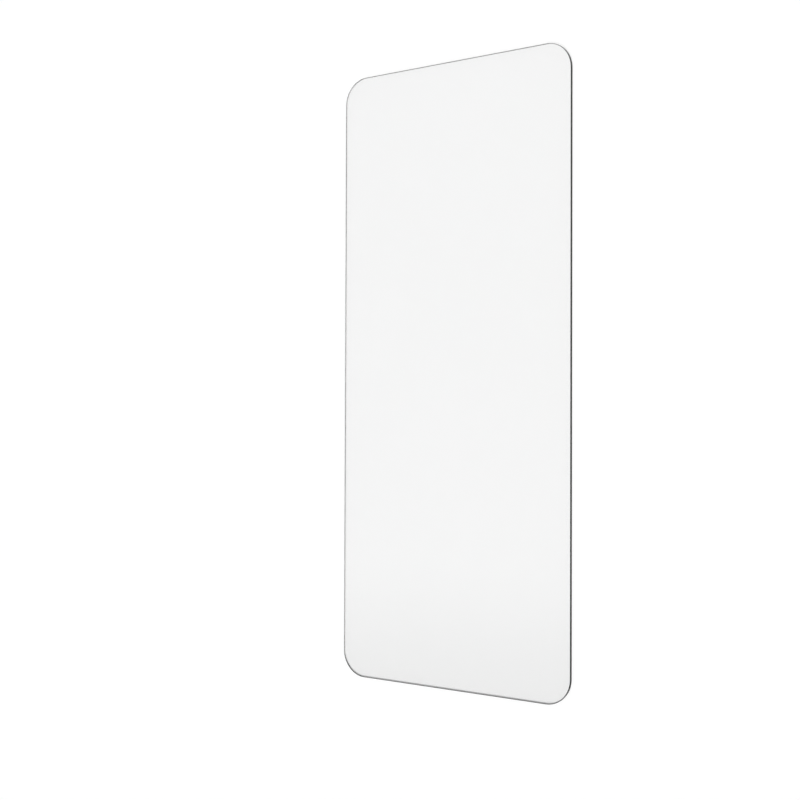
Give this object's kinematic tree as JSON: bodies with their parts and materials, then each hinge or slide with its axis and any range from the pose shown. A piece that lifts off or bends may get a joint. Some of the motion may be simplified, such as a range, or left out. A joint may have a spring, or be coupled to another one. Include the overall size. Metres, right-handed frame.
{
  "type": "phone screen protector",
  "caption": "Thin flat sheet of clear toughened glass with rounded corners and a crowned front edge, made to bond over the screen of a phone.",
  "frame": {"origin": "centre of the bonding face, which is the face that the sheet lies on", "axes": "+Z out of the front face, +Y along the length towards the top end, +X across the width to the right seen from the front"},
  "size_m": [0.066, 0.154, 0.0007],
  "materials": {
    "clear_glass": "clear polished faces with a ground and polished edge"
  },
  "bodies": {
    "root": {"glass_sheet": "clear_glass"}
  },
  "joints": []
}
